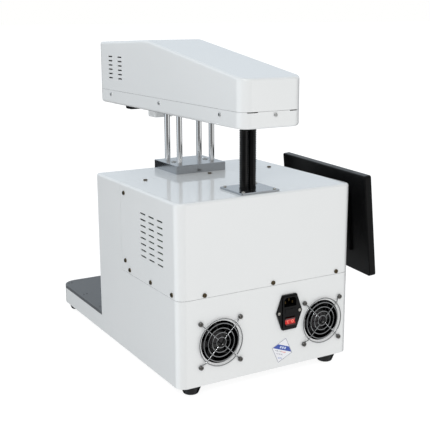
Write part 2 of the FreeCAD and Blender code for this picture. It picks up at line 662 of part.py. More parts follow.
def bent_wire(points, radius):
    """Round wire run straight from point to point, with a ball in each bend."""
    pieces = [Part.makeCylinder(radius, (b - a).Length, a, b - a) for a, b in zip(points, points[1:])]
    pieces += [Part.makeSphere(radius, p) for p in points[1:-1]]
    return solid(pieces[0].fuse(pieces[1:]))


for side, cell in FANS:
    fx = num(cell)
    fz = FAN_Z
    S = num("@fan_size")
    D = num("@fan_depth")
    frame = box(fx - S / 2, -T - D, fz - S / 2, S, D, S)
    frame = soften(frame, 4, lambda e: e.BoundBox.YLength > D - 0.1)
    frame = cut(frame, rod(fx, -T - D - 1, fz, "@fan_bore / 2", D + 2, "y"))
    flute = [cut(box(fx - S, -T - D + 4, fz - S, 2 * S, D - 8, 2 * S),
                 rod(fx, -T - D, fz, S / 2 - 0.2, D, "y"))]
    pillars = [rod(fx + sx * PITCH, -T - D, fz + sz * PITCH, 4, D, "y")
               for sx in (-1, 1) for sz in (-1, 1)]
    frame = fuse(cut(frame, *flute), *pillars)
    hub = rod(fx, -T - D, fz, 17, 3, "y")
    arms = [box(fx - S / 2 + 1.5, -T - D, fz - 2, S - 3, 2.5, 4),
            box(fx - 2, -T - D, fz - S / 2 + 1.5, 4, 2.5, S - 3)]
    axle = rod(fx, -T - D, fz, 2, 14, "y")
    frame = fuse(frame, hub, axle, *arms)
    frame = cut(frame, *[rod(fx + sx * PITCH, -T - D - 1, fz + sz * PITCH, 2.1, D + 2, "y")
                         for sx in (-1, 1) for sz in (-1, 1)])
    node("fan_frame_" + side, frame)
    blades = []
    for i in range(7):
        blade = Part.makeBox(24, 1.6, 17, V(13.5, -0.8, -8.5))
        blade.rotate(V(25, 0, 0), V(1, 0, 0), 48)
        blade.rotate(V(0, 0, 0), V(0, 0, 1), i * 360 / 7)
        blades.append(blade)
    fan = Part.makeCylinder(17, 16, V(0, 0, -8)).fuse(blades)
    fan = fan.common(Part.makeCylinder(36.8, 16, V(0, 0, -8)))
    fan = fan.cut(Part.makeCylinder(2.05, 10, V(0, 0, -8.5))).removeSplitter()
    rotor = solid(fan)
    rotor.Placement = FreeCAD.Placement(V(fx, -T - D / 2 + 1, fz), turn_b)
    node("fan_rotor_" + side, rotor)
    wires = [ring(fx, RING_Y, fz, "@guard_ring - %d * @guard_step" % i, "@guard_wire / 2")
             for i in range(5)]
    for quarter in range(4):
        turn = FreeCAD.Rotation(V(0, 1, 0), 45 + 90 * quarter)
        bends = [(EYE_AT - EYE, EYE_Y), (45.6, EYE_Y), (41.2, SPOKE_Y), (8.0, SPOKE_Y)]
        wires.append(bent_wire([V(fx, 0, fz) + turn.multVec(V(0, out, along)) for along, out in bends],
                               WIRE))
        eye = turn.multVec(V(0, 0, EYE_AT))
        wires.append(ring(fx + eye.x, EYE_Y, fz + eye.z, EYE, "@guard_wire / 2"))
    node("fan_guard_" + side, fuse(*wires))
places = [FreeCAD.Placement(V(num(cell) + sx * PITCH, EYE_Y + WIRE + 0.05, FAN_Z + sz * PITCH), turn_b)
          for _, cell in FANS for sx in (-1, 1) for sz in (-1, 1)]
node("fan_screws", copies(grille_screw, places))

# ---- mains inlet --------------------------------------------------------------------------------
hexagon = [("@inlet_side + 14", "@foot_height + @inlet_rise + 30"),
           ("@inlet_side + 25", "@foot_height + @inlet_rise"),
           ("@inlet_side + 14", "@foot_height + @inlet_rise - 30"),
           ("@inlet_side - 14", "@foot_height + @inlet_rise - 30"),
           ("@inlet_side - 25", "@foot_height + @inlet_rise"),
           ("@inlet_side - 14", "@foot_height + @inlet_rise + 30")]
# the outline is drawn on the back face, and its plane's normal points along -y
face_plate = prism(hexagon, "-3", "0", "XZ")
face_plate = soften(face_plate, 2.5, lambda e: e.BoundBox.YLength > 2.9)
rim = box(IX - 14, 3, IZ - 26.5, 28, 1.8, 54)
rim = soften(rim, 2, lambda e: e.BoundBox.YLength > 1.7)
barrel = box(IX - 13.8, -30, IZ - 26.3, 27.6, 31, 50.6)
inlet = fuse(face_plate, rim, barrel)
socket = box(IX - 12, -13, IZ + 10, 24, 20, 15.5)
socket = bevel(socket, 4, lambda e: e.BoundBox.YLength > 19 and e.BoundBox.ZMin > IZ + 25)
drawer_room = box(IX - 10.6, -20, IZ - 1.1, 21.2, 30, 8.2)
rocker_room = box(IX - 9.7, -10, IZ - 23.8, 19.4, 20, 16.6)
ears = [rod(IX + s * 20.2, -1, IZ, 1.6, 6, "y") for s in (-1, 1)]
dips = [rod(IX + s * 20.2, 1.8, IZ, 3.4, 3, "y") for s in (-1, 1)]
RK = num("@foot_height + @inlet_rise") - 15.5
# the rocker turns on a pin across its room
pin = rod(IX - 10.5, -1, RK, "1 - @running_gap", 21, "x")
node("inlet_body", fuse(cut(inlet, socket, drawer_room, rocker_room, *(ears + dips)), pin))
pins = []
for dx, dz in ((-7, 14.2), (7, 14.2), (0, 18.5)):
    pins.append(box(IX + dx - 1, -13, IZ + dz, 2, 13.5, 4))
node("inlet_pins", group(*pins))
drawer = box(IX - 10.5, -18, IZ - 1, 21, 23.4, 8)
drawer = soften(drawer, 0.8, lambda e: e.BoundBox.YMin > 5)
drawer = cut(drawer, box(IX - 4, 4.4, IZ + 5.6, 8, 3, 1.6), box(IX - 8, -16, IZ + 0.5, 16, 15, 5))
node("fuse_drawer", drawer)
key = [("-5.2", "-6"), ("5.2", "-6"), ("6", "0"), ("6.2", "3.6"), ("0", "1.7"), ("-6.2", "5.0"), ("-6", "0")]
key_points = [V(0, float(b) + 2.2, float(a)) for a, b in key]
rocker = Part.Face(Part.makePolygon(key_points + [key_points[0]])).extrude(V(19, 0, 0))
rocker = rocker.makeFillet(0.5, [e for e in rocker.Edges if e.BoundBox.YMin > 3.5])
key_solid = solid(rocker)
key_solid.Placement = FreeCAD.Placement(V(IX - 9.5, 0.6, RK), FreeCAD.Rotation())
node("power_rocker", cut(key_solid, rod(IX - 10, -1, RK, 1, 20, "x")))

# ---- rating label, blank of any words ---------------------------------------------------------
label = box(-15.8, 0, -15.8, 31.6, 0.25, 31.6)
tilted = FreeCAD.Placement(V(-27, 0, 45.8), FreeCAD.Rotation(V(0, 1, 0), 24.6))
node("rating_label", copies(label, [tilted]))

# ---- electronics in the cabinet ------------------------------------------------------------------
supply = box(24, -228, "@floor_pan + 2 * @skin + 3", 90, 160, 42)
supply = soften(supply, 1.5, upright)
pads = [rod(x, y, PAN, 4, 3) for x in (32, 106) for y in (-220, -76)]
vent = [box(32, -216 + 10 * i, PAN + 44, 74, 3, 3) for i in range(14)]
node("power_supply", cut(fuse(supply, *pads), *vent))
sheet_up = box(136, -160, PAN, 1.5, 120, 262)
sheet_foot = box(118, -160, PAN, 18.5, 92, 1.5)
sheet_up = cut(sheet_up, box(130, -45, PAN - 1, 12, 10, 60), box(130, -69, PAN - 1, 12, 40, 108))
posts = [rod(137, y, z, 2.5, 5.5, "x") for y in (-152, -52) for z in (198, 276)]
node("board_bracket", fuse(sheet_up, sheet_foot, *posts))
board = box(142.5, -158, 192, 1.6, 112, 90)
chips = [(-150, 200, 5, 22, 30), (-120, 210, 3, 28, 28), (-84, 200, 9, 16, 60), (-150, 240, 8, 30, 14),
         (-112, 252, 7, 20, 20), (-60, 225, 11, 10, 22)]
parts = [box(144.1, y, z, t, dy, dz) for y, z, t, dy, dz in chips]
node("control_board", fuse(board, *parts))

# ---- print carriage on its two rails in the head ----------------------------------------------------
CA = num("-@carriage_at")
RG = num("@rail_gap") / 2
RZ = HZ + 43
rails = rod(0, 0, 0, "@rail_radius", -302 - (YF + 16), "y")
doc.recompute()
node("carriage_rails", copies(rails, [FreeCAD.Placement(V(s * RG, YF + 16, RZ), FreeCAD.Rotation())
                                      for s in (-1, 1)]))
PZ = RZ + 18
PY = -318
IY = YF + 14 + 15
ends = []
for y, name in ((YF + 14, "front"), (-306, "rear")):
    block = box(-46, y, "@head_z + @skin + 3", 92, 8, 50.0 - T - 3)
    block = fuse(block, *[box(x, y, "@head_z + @skin", 14, 8, 4) for x in (-40, 26)])
    window = box(-26, y - 1, HZ + 8, 44, 10, 26)
    bores = [rod(s * RG, y - 1, RZ, "@rail_radius + @seat_gap", 10, "y") for s in (-1, 1)]
    if name == "front":
        block = fuse(block, box(34.5, y, HZ + 48, 3.5, 20, 21))
        bores.append(rod(30, y + 15, PZ, 2.05, 10, "x"))
        ends.append(cut(block, window, *bores))
    else:
        mount = box(22, PY - 15, "@head_z + @skin", 2.5, 26, PZ + 15 - HZ - T)
        web = box(22, -308, "@head_z + @skin", 2.5, 5, 48)
        bores.append(rod(20, PY, PZ, 5, 8, "x"))
        ends.append(cut(fuse(block, mount, web), window, *bores))
node("rail_ends", group(*ends))
block = box(-46, CA - 18, RZ - 8, 92, 36, 16)
block = bevel(block, 1, lambda e: e.BoundBox.XLength > 90)
tools = [rod(s * RG, CA - 20, RZ, "@rail_radius + @running_gap", 40, "y") for s in (-1, 1)]
tools.append(box(-18.1, CA - 13.1, RZ - 10, 36.2, 26.2, 8))
block = fuse(block, box(25, CA - 4, RZ + 8, 8, 8, 2.3))
node("carriage_block", cut(block, *tools))
skirt = box(-18, CA - 13, HZ - 14, 36, 26, RZ - 2 - HZ + 14)
skirt = soften(skirt, 5, upright)
skirt = soften(skirt, 3, flat_at(HZ - 14))
well = box(-14, CA - 9, HZ - 15, 28, 18, RZ - HZ + 9)
node("head_skirt", cut(skirt, well))
node("thermal_print_head", fuse(box(-13, CA - 3, HZ - 13, 26, 6, 6),
                                box(-13.5, CA - 6, HZ - 8, 27, 12, RZ - 6 - HZ + 8)))
# foil cassette: a side plate with two spindles, carried on the block
FZ = RZ + 38
side_plate = box(18, CA - 22, RZ + 8, 3, 110, 60)
side_plate = soften(side_plate, 8, lambda e: 2.9 < e.BoundBox.XLength < 3.1 and e.BoundBox.ZMin > RZ + 60)
side_plate = cut(side_plate, rod(10, CA + 32, RZ + 38, 10, 20, "x"))
shafts = []
REELS = [("supply", CA + 4), ("take_up", CA + 60)]
for name, y in REELS:
    shafts.append(rod(-42, y, FZ, 5, 61, "x"))
    shafts.append(rod(-44, y, FZ, 7, 3, "x"))
node("foil_frame", fuse(side_plate, *shafts))
for (name, y), roll in zip(REELS, (17, 12)):
    reel = fuse(rod(-38, y, FZ, roll, 52, "x"), rod(-39, y, FZ, 24, 1.5, "x"), rod(12.5, y, FZ, 24, 1.5, "x"))
    reel = cut(reel, rod(-40, y, FZ, "5 + @running_gap", 60, "x"))
    notches = [rod(12, y + 15 * math.cos(a * math.pi / 2), FZ + 20 * math.sin(a * math.pi / 2), 2, 4, "x")
               for a in range(4)]
    node("foil_reel_" + name, cut(reel, *notches))

# ---- carriage drive --------------------------------------------------------------------------------
stepper = box(-12, PY - 14, PZ - 14, 34, 24, 28)
stepper = bevel(stepper, 2.5, lambda e: e.BoundBox.XLength > 33)
node("carriage_motor", cut(stepper, rod(8, PY, PZ, 2.6, 16, "x")))
for name, y, start in (("drive", PY, 10), ("idler", IY, 25)):
    wheel = fuse(rod(26, y, PZ, 6, 6, "x"), rod(start, y, PZ, 2.5 if name == "drive" else 2,
                                                34 - start if name == "drive" else 12.5, "x"))
    flanges = [rod(25, y, PZ, 7, 0.8, "x"), rod(32.2, y, PZ, 7, 0.8, "x")]
    node(name + "_pulley", fuse(wheel, *flanges))
belt = fuse(box(26, IY, PZ - 7.6, 6, PY - IY, 15.2), rod(26, PY, PZ, 7.6, 6, "x"), rod(26, IY, PZ, 7.6, 6, "x"))
belt_in = fuse(box(25, IY, PZ - 6.2, 8, PY - IY, 12.4), rod(25, PY, PZ, 6.2, 8, "x"),
               rod(25, IY, PZ, 6.2, 8, "x"))
belt = cut(belt, belt_in)
belt = cut(belt, box(24.9, IY + 7, PZ - 4, 2, 1, 1))
node("carriage_belt", belt)

# ---- lamp housing under the head and the board in it -------------------------------------------------
LAMP = num("-@carriage_at") + 112
lamp = box(-20, LAMP - 16, HZ - 19, 40, 32, 19)
lamp = soften(lamp, 5, upright)
lamp = soften(lamp, 3, flat_at(HZ - 19))
lamp = cut(lamp, box(-17, LAMP - 13, HZ - 15, 34, 26, 16), rod(0, LAMP, HZ - 20, 8, 6))
node("lamp_housing", lamp)
glass = rod(0, LAMP, HZ - 17.5, 7.9, 2.4)
glass = fuse(glass, rod(0, LAMP, HZ - 15, 10, 1.5), rod(0, LAMP, HZ - 16, 7.9, 2))
node("lamp_lens", glass)
driver = box(-36, -196, HZ + 8, 72, 120, 1.6)
posts = [rod(x, y, HZ + T, 2.5, 6.5) for x in (-31, 31) for y in (-190, -82)]
bits = [box(x, y, HZ + 9.6, dx, dy, dz) for x, y, dx, dy, dz in (
    (-28, -180, 22, 22, 3), (6, -184, 20, 34, 10), (-30, -140, 14, 44, 8), (2, -130, 24, 24, 4),
    (-8, -98, 36, 10, 9))]
node("head_board", fuse(driver, *(posts + bits)))

# ---- touch screen on its arm ---------------------------------------------------------------------------
yaw = num("@screen_yaw")
tilt = num("@screen_tilt")
rise = num("@foot_height + @screen_rise")
long_ = num("@screen_long")
tall = num("@screen_tall")
thick = num("@screen_thick")
turn = FreeCAD.Rotation(V(0, 0, 1), yaw).multiply(FreeCAD.Rotation(V(0, 1, 0), tilt))
centre = V(-H - 39.4, -128.5, rise)
screen_place = FreeCAD.Placement(centre, turn)
case = mid_box("0", "0", "-@screen_tall / 2", "@screen_thick", "@screen_long", "@screen_tall")
doc.recompute()
case = soften(case, 4, lambda e: e.BoundBox.XLength > 12)
case = soften(case, 1.6, lambda e: e.BoundBox.XLength < 0.01)
hump = mid_box("@screen_thick / 2 + 2.5", "0", -52.0, "5", "180", "104")
hump = soften(hump, 1.8, lambda e: e.BoundBox.XMin > thick / 2 + 4.9)
panel_room = mid_box("-@screen_thick / 2", "0", "6 - @screen_tall / 2", "2.4", "@screen_long - 12",
                     "@screen_tall - 12")
case = cut(fuse(case, hump), panel_room)
case_node = copies(case, [screen_place.multiply(FreeCAD.Placement(V(-thick / 2, 0, 0), FreeCAD.Rotation()))])
case_node.Shape = case_node.Shape.Solids[0]
node("screen_case", case_node)
panel = mid_box("-@screen_thick - 0.15 + 0.65", "0", "6.2 - @screen_tall / 2", "1.3", "@screen_long - 12.4",
                "@screen_tall - 12.4")
panel_node = copies(panel, [screen_place])
panel_node.Shape = panel_node.Shape.Solids[0]
node("screen_glass", panel_node)
# ears and pin on the back of the case; the tilt axis is 12 mm behind the case
ears = [box(5, y, -8, 12, 6, 16) for y in (-18.3, 12.3)]
ears = [soften(e_, 4, lambda e: e.BoundBox.YLength > 5.9 and e.BoundBox.XMin > 16) for e_ in ears]
hinge = fuse(*(ears + [rod(12, -18, 0, 2.5, 36, "y")]))
hinge_node = copies(hinge, [screen_place])
hinge_node.Shape = hinge_node.Shape.Solids[0]
node("screen_ears", hinge_node)
tilt_point = screen_place.multVec(V(12, 0, 0))
yaw_turn = FreeCAD.Rotation(V(0, 0, 1), yaw)
pivot = tilt_point + yaw_turn.multVec(V(15.5, 0, 0))
knuckle_place = FreeCAD.Placement(pivot, yaw_turn)
yoke = [rod(0, 0, 15.3, 8, 8.7), rod(0, 0, -24, 8, 8.7), box(-16, -8, 15.3, 16, 16, 8.7),
        box(-16, -8, -24, 16, 16, 8.7), box(-16, -8, -24, 6.5, 16, 48), rod(0, 0, -24, 3, 48)]
tube = rod(-15.5, -12, 0, 6, 24, "y")
knuckle = cut(fuse(*(yoke + [tube])), rod(-15.5, -13, 0, "2.5 + @running_gap", 26, "y"))
knuckle_node = copies(knuckle, [knuckle_place])
knuckle_node.Shape = knuckle_node.Shape.Solids[0]
node("screen_knuckle", knuckle_node)
root = V(pivot.x, -262, pivot.z)
span = pivot.y - root.y
arm = fuse(rod(0, 0, -15, 7, 30), rod(0, span, -15, 7, 30), box(-3, 0, -15, 6, span, 30))
arm = cut(arm, rod(0, 0, -16, "3 + @running_gap", 32), rod(0, span, -16, "3 + @running_gap", 32))
arm_node = copies(arm, [FreeCAD.Placement(root, FreeCAD.Rotation())])
arm_node.Shape = arm_node.Shape.Solids[0]
node("screen_arm", arm_node)
wall = -H - root.x
foot_plate = box(wall - 3, -28, -32.2, 3, 56, 64.4)
foot_plate = soften(foot_plate, 5, lambda e: 2.9 < e.BoundBox.XLength < 3.1)
grip = [foot_plate, rod(0, 0, 15.3, 8, 9), rod(0, 0, -24.3, 8, 9), rod(0, 0, -24, 3, 48),
        box(0, -8, 15.3, wall - 1, 16, 9), box(0, -8, -24.3, wall - 1, 16, 9)]
bracket = fuse(*grip)
drill = [rod(wall - 6, y - root.y, z - root.z, 1.6, 12, "x") for y in (-282, -242) for z in (207, 257)]
bracket = cut(bracket, *drill)
bracket_node = copies(bracket, [FreeCAD.Placement(root, FreeCAD.Rotation())])
bracket_node.Shape = bracket_node.Shape.Solids[0]
node("screen_bracket", bracket_node)

# ---- write the nodes ---------------------------------------------------------------------------------------
doc.recompute()
bad = []
for obj in doc.Objects:
    if "Invalid" in obj.State or "Error" in obj.State:
        bad.append(obj.Label + " " + str(obj.State))
for obj in nodes:
    if obj.Shape.isNull() or not obj.Shape.isValid() or not obj.Shape.Solids:
        bad.append(obj.Label + " has no valid solid")
if bad:
    raise ValueError("; ".join(bad))
for obj in nodes:
    obj.Shape.exportStep("parts/%s.step" % obj.Label)
    b = obj.Shape.BoundBox
    print("%-22s %3d %9.0f  x %7.1f %7.1f  y %7.1f %7.1f  z %6.1f %6.1f" % (
        obj.Label, len(obj.Shape.Solids), obj.Shape.Volume, b.XMin, b.XMax, b.YMin, b.YMax, b.ZMin, b.ZMax))
print(len(nodes), "nodes; pivot", pivot, "tilt", tilt_point, "root", root, "centre", centre)
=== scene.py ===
# %% [markdown]
# # A desktop foil stamper, dressed around its working frame
# The machine is already designed: every casing, rod, screw and fan sits in the imported frame at
# its true place and size, in metres. What is left is how it looks. This lesson sets up the
# camera and a bright studio, writes one finish for each real surface treatment, and builds the
# few pieces that need a better shape than the frame gives them.

# %% Load the frame
import math

import bpy
from mathutils import Matrix, Vector


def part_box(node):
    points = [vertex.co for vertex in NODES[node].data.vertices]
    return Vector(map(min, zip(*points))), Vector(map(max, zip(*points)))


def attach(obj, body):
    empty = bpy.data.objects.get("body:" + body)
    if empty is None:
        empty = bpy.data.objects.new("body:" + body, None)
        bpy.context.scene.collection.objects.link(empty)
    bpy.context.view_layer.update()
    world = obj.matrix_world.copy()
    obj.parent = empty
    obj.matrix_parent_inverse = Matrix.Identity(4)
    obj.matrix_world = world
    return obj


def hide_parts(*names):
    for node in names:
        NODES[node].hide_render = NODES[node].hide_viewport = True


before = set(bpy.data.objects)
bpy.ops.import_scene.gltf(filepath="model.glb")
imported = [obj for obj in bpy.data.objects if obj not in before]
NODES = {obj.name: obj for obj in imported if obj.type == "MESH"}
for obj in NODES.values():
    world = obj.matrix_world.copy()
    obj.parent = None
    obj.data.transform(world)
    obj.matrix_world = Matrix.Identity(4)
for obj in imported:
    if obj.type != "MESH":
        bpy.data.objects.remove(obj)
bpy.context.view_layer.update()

MM = 0.001


def middle(node):
    """The middle of a node's box."""
    low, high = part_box(node)
    return (low + high) / 2


# %% [markdown]
# ## The camera
# A lens of about 72 mm on a 36 mm sensor, 1.6 m from the machine's middle, looks at the back
# corner from a little above. A longer lens would flatten the box and a shorter one would splay
# it. The camera is aimed by three turns, so that the small sideways roll is kept as well.

# %% Camera
LENS_MM = 71.68
SENSOR_MM = 36.0
CAMERA_AT = Vector((0.76208, 1.35802, 0.58129))
CAMERA_YAW = math.radians(150.15)
CAMERA_PITCH = math.radians(13.05)
CAMERA_ROLL = math.radians(0.26)


def look_axes(yaw, pitch, roll):
    """Right, up and back of a camera that looks along a bearing, tipped down by pitch."""
    level = math.cos(pitch)
    ahead = Vector((-math.sin(yaw) * level, math.cos(yaw) * level, -math.sin(pitch)))
    right = ahead.cross(Vector((0, 0, 1))).normalized()
    above = right.cross(ahead)
    turn = Matrix.Rotation(roll, 3, ahead)
    return turn @ right, turn @ above, -ahead


camera = bpy.data.objects.new("camera", bpy.data.cameras.new("camera"))
bpy.context.scene.collection.objects.link(camera)
camera.data.lens = LENS_MM
camera.data.sensor_width = SENSOR_MM
camera.data.clip_start = 0.05
camera.data.clip_end = 80.0
axes = look_axes(CAMERA_YAW, CAMERA_PITCH, CAMERA_ROLL)
camera.matrix_world = Matrix.Translation(CAMERA_AT) @ Matrix(axes).transposed().to_4x4()
bpy.context.scene.camera = camera
print("camera looks along", [round(-c, 3) for c in axes[2]])

# %% [markdown]
# ## Shading as arithmetic
# A finish is easiest to read when it looks like a sum. Each socket is wrapped in a small class
# that knows plus, minus and times, and every other node comes from one method. Positions are in
# metres, so a grain of so many lines a metre means the same on the long head and on a screw.

# %% Shading kit
class Value:
    """A socket that takes part in sums."""

    def __init__(self, recipe, socket):
        self.recipe = recipe
        self.socket = socket

    def maths(self, operation, first, second):
        return self.recipe.node("ShaderNodeMath", {"operation": operation}, {0: first, 1: second})

    def __add__(self, other):
        return self.maths("ADD", self, other)

    def __radd__(self, other):
        return self.maths("ADD", other, self)

    def __sub__(self, other):
        return self.maths("SUBTRACT", self, other)

    def __rsub__(self, other):
        return self.maths("SUBTRACT", other, self)

    def __mul__(self, other):
        return self.maths("MULTIPLY", self, other)

    def __rmul__(self, other):
        return self.maths("MULTIPLY", other, self)


class Recipe:
    """One node tree, with a short way to add any node and the few patterns used below."""

    def __init__(self, tree, coordinate):
        self.tree = tree
        self.where = self.node("ShaderNodeTexCoord", output=coordinate)

    def node(self, kind, settings=None, inputs=None, output=0):
        made = self.tree.nodes.new(kind)
        for name, value in (settings or {}).items():
            setattr(made, name, value)
        for name, value in (inputs or {}).items():
            if isinstance(value, Value):
                self.tree.links.new(value.socket, made.inputs[name])
            else:
                made.inputs[name].default_value = value
        return Value(self, made.outputs[output]) if made.outputs else None

    def along(self, axis):
        """Position along x, y or z, in metres."""
        return self.node("ShaderNodeSeparateXYZ", {}, {0: self.where}, "xyz".index(axis))

    def grain(self, per_metre, stretch=(1.0, 1.0, 1.0), detail=3.0):
        """Noise with so many grains to the metre, drawn out where stretch is small."""
        place = self.node("ShaderNodeVectorMath", {"operation": "MULTIPLY"}, {0: self.where, 1: stretch})
        return self.node("ShaderNodeTexNoise", {}, {"Vector": place, "Scale": per_metre, "Detail": detail})

    def fade(self, value, low, high):
        """0 at low and 1 at high, with a soft change between them."""
        return self.node("ShaderNodeMapRange", {"interpolation_type": "SMOOTHSTEP"},
                         {0: value, 1: low, 2: high})

    def near(self, value, centre, reach):
        """1 within reach of centre, else 0."""
        return self.node("ShaderNodeMath", {"operation": "COMPARE"}, {0: value, 1: centre, 2: reach})

    def size(self, value):
        return self.node("ShaderNodeMath", {"operation": "ABSOLUTE"}, {0: value})

    def tint(self, mask, first, second):
        """The first colour where mask is 0 and the second where it is 1."""
        return self.node("ShaderNodeMix", {"data_type": "RGBA"}, {0: mask, 6: first, 7: second}, 2)


class Finish(Recipe):
    """A surface treatment: steady values set once, and what varies linked in."""

    def __init__(self, name, steady=None):
        self.material = bpy.data.materials.new(name + "_finish")
        self.material.use_nodes = True
        self.material.node_tree.nodes.clear()
        super().__init__(self.material.node_tree, "Object")
        self.skin = self.tree.nodes.new("ShaderNodeBsdfPrincipled")
        ending = self.tree.nodes.new("ShaderNodeOutputMaterial")
        self.tree.links.new(self.skin.outputs[0], ending.inputs["Surface"])
        for socket, value in (steady or {}).items():
            self.skin.inputs[socket].default_value = value

    def give(self, name, value):
        """Link what changes over the surface."""
        self.tree.links.new(value.socket, self.skin.inputs[name])

    def relief(self, height, depth):
        """Press the surface in and out by depth, in metres."""
        bump = self.node("ShaderNodeBump", {}, {"Height": height, "Distance": depth, "Strength": 1.0})
        self.give("Normal", bump)


def shade(red, green, blue):
    """A colour given as it looks on a display, 0 to 255, as the light it stands for."""
    parts = []
    for part in (red / 255, green / 255, blue / 255):
        parts.append(part / 12.92 if part <= 0.04045 else ((part + 0.055) / 1.055) ** 2.4)
    return (*parts, 1.0)


print("one step of grey near white is", round(shade(230, 230, 230)[0] - shade(229, 229, 229)[0], 4))

# %% [markdown]
# ## A light tent
# White powder coat needs something bright to look into on every side, or it turns grey in
# patches. A tent of pale cloth does that in a real studio. Below the horizon the cloth is banded:
# dark behind the machine, bright at its sides and grey where the camera looks in. A polished rod
# seen from above mirrors that band, so it gets dark edges, two bright stripes and a grey middle.
# One small softbox high behind the camera puts the glints on wire and plastic.

# %% Light tent and floor
tent = bpy.data.worlds.new("light_tent")
bpy.context.scene.world = tent
tent.use_nodes = True
tent.node_tree.nodes.clear()
cloth = Recipe(tent.node_tree, "Generated")
back_side = cloth.fade(cloth.along("y"), -0.25, 0.55)
right_side = cloth.fade(cloth.along("x"), -0.10, 0.70)
overhead = cloth.fade(cloth.along("z"), 0.25, 0.90)
CAMERA_BEARING = (0.505, 0.863, 0.0)
toward_camera = cloth.node("ShaderNodeVectorMath", {"operation": "DOT_PRODUCT"},
                           {0: cloth.where, 1: CAMERA_BEARING}, "Value")
FAR_SIDE = 0.84
BACK_DIP = 0.32
RIGHT_GAIN = 0.12
OVERHEAD = 0.88
BAND_BEHIND = 0.04
BAND_SIDES = 0.92
BAND_MOUTH = 0.74
above = FAR_SIDE - BACK_DIP * back_side + RIGHT_GAIN * (right_side * (1 - back_side))
above = above * (1 - overhead) + OVERHEAD * overhead
below = (BAND_BEHIND + BAND_SIDES * cloth.fade(toward_camera, -0.30, -0.10)
         - BAND_MOUTH * cloth.fade(toward_camera, 0.62, 0.72))
upper = cloth.fade(cloth.along("z"), -0.04, 0.02)
glow = above * upper + below * (1 - upper)
seen = cloth.node("ShaderNodeLightPath", output="Is Camera Ray")
strength = glow * (1 - seen) + seen
cool = (1 - back_side) * (1 - seen)
colour = cloth.tint(cool, shade(255, 255, 254), shade(238, 247, 255))
backdrop = cloth.node("ShaderNodeBackground", {}, {"Color": colour, "Strength": strength})
cloth.node("ShaderNodeOutputWorld", {}, {"Surface": backdrop})

bpy.context.scene.view_settings.view_transform = "Standard"

floor_mesh = bpy.data.meshes.new("floor")
REACH = 60.0
corners = [(-REACH, -REACH, 0), (REACH, -REACH, 0), (REACH, REACH, 0), (-REACH, REACH, 0)]
floor_mesh.from_pydata(corners, [], [(0, 1, 2, 3)])
floor = bpy.data.objects.new("floor", floor_mesh)
bpy.context.scene.collection.objects.link(floor)
floor.visible_glossy = False
paper = Finish("paper_floor", {"Roughness": 0.9, "Emission Strength": 0.90})
fibre = paper.grain(40.0)
paper.give("Base Color", paper.tint(fibre, shade(118, 118, 118), shade(124, 124, 124)))
paper.give("Emission Color", paper.tint(fibre, shade(254, 254, 254), shade(255, 255, 255)))
floor_mesh.materials.append(paper.material)

SOFTBOX_SIDE = 0.45
SOFTBOX_AT = (1.7, 2.2, 1.9)
SOFTBOX_AIM = Vector((0.0, 0.1, 0.3))
softbox_light = bpy.data.lights.new("softbox", "AREA")
softbox_light.shape = "SQUARE"
softbox_light.size = SOFTBOX_SIDE
softbox_light.energy = 16.0
softbox = bpy.data.objects.new("softbox", softbox_light)
bpy.context.scene.collection.objects.link(softbox)
softbox.location = SOFTBOX_AT
softbox.rotation_euler = (SOFTBOX_AIM - softbox.location).to_track_quat("-Z", "Y").to_euler()
print("tent cloth from", FAR_SIDE, "on the far side to", OVERHEAD, "overhead")

# %% [markdown]
# ## Painted sheet, ground plate and polished shaft
# The casing is folded sheet with a powder coat: glossy, with the slight orange peel that the
# powder leaves as it flows, and faint wipe marks that only show in reflections. The plates are
# ground, so their scratches all run one way. The shafts are ground round and then polished, so
# theirs run round the shaft and are far finer. Each finish below says how its scratches are drawn
# out, its darker and lighter colour, and how rough it is.

# %% Finishes of the metal parts
FINISHES = {}

white = Finish("white_sheet", {"Coat Weight": 1.0, "Coat Roughness": 0.02})
mottle = white.grain(9.0, detail=2.0)
white.give("Base Color", white.tint(mottle, shade(228, 230, 230), shade(232, 233, 233)))
wipes = white.grain(22.0, (1.0, 0.25, 1.0))
white.give("Roughness", 0.34 + 0.10 * wipes)
white.relief(white.grain(420.0, detail=1.0), 0.000005)
FINISHES["white_sheet"] = white

bed = Finish("bed_dark", {"Metallic": 0.35})
lines = bed.grain(900.0, (0.03, 1.0, 1.0))
blotches = bed.grain(14.0) * 0.6 + lines * 0.4
bed.give("Base Color", bed.tint(blotches, shade(90, 92, 94), shade(108, 110, 112)))
bed.give("Roughness", 0.42 + 0.16 * lines)
bed.relief(lines, 0.00001)
FINISHES["bed_dark"] = bed


def ground_steel(name, stretch, low, high, rough, lines_per_metre=1600.0, depth=0.000003):
    """Bare metal with fine scratches that run along the axis where stretch is small."""
    made = Finish(name, {"Metallic": 1.0})
    scratches = made.grain(lines_per_metre, stretch)
    clouds = made.grain(18.0)
    made.give("Base Color", made.tint(scratches * 0.5 + clouds * 0.5, shade(*low), shade(*high)))
    made.give("Roughness", rough + 0.10 * scratches)
    made.relief(scratches, depth)
    FINISHES[name] = made
    return made


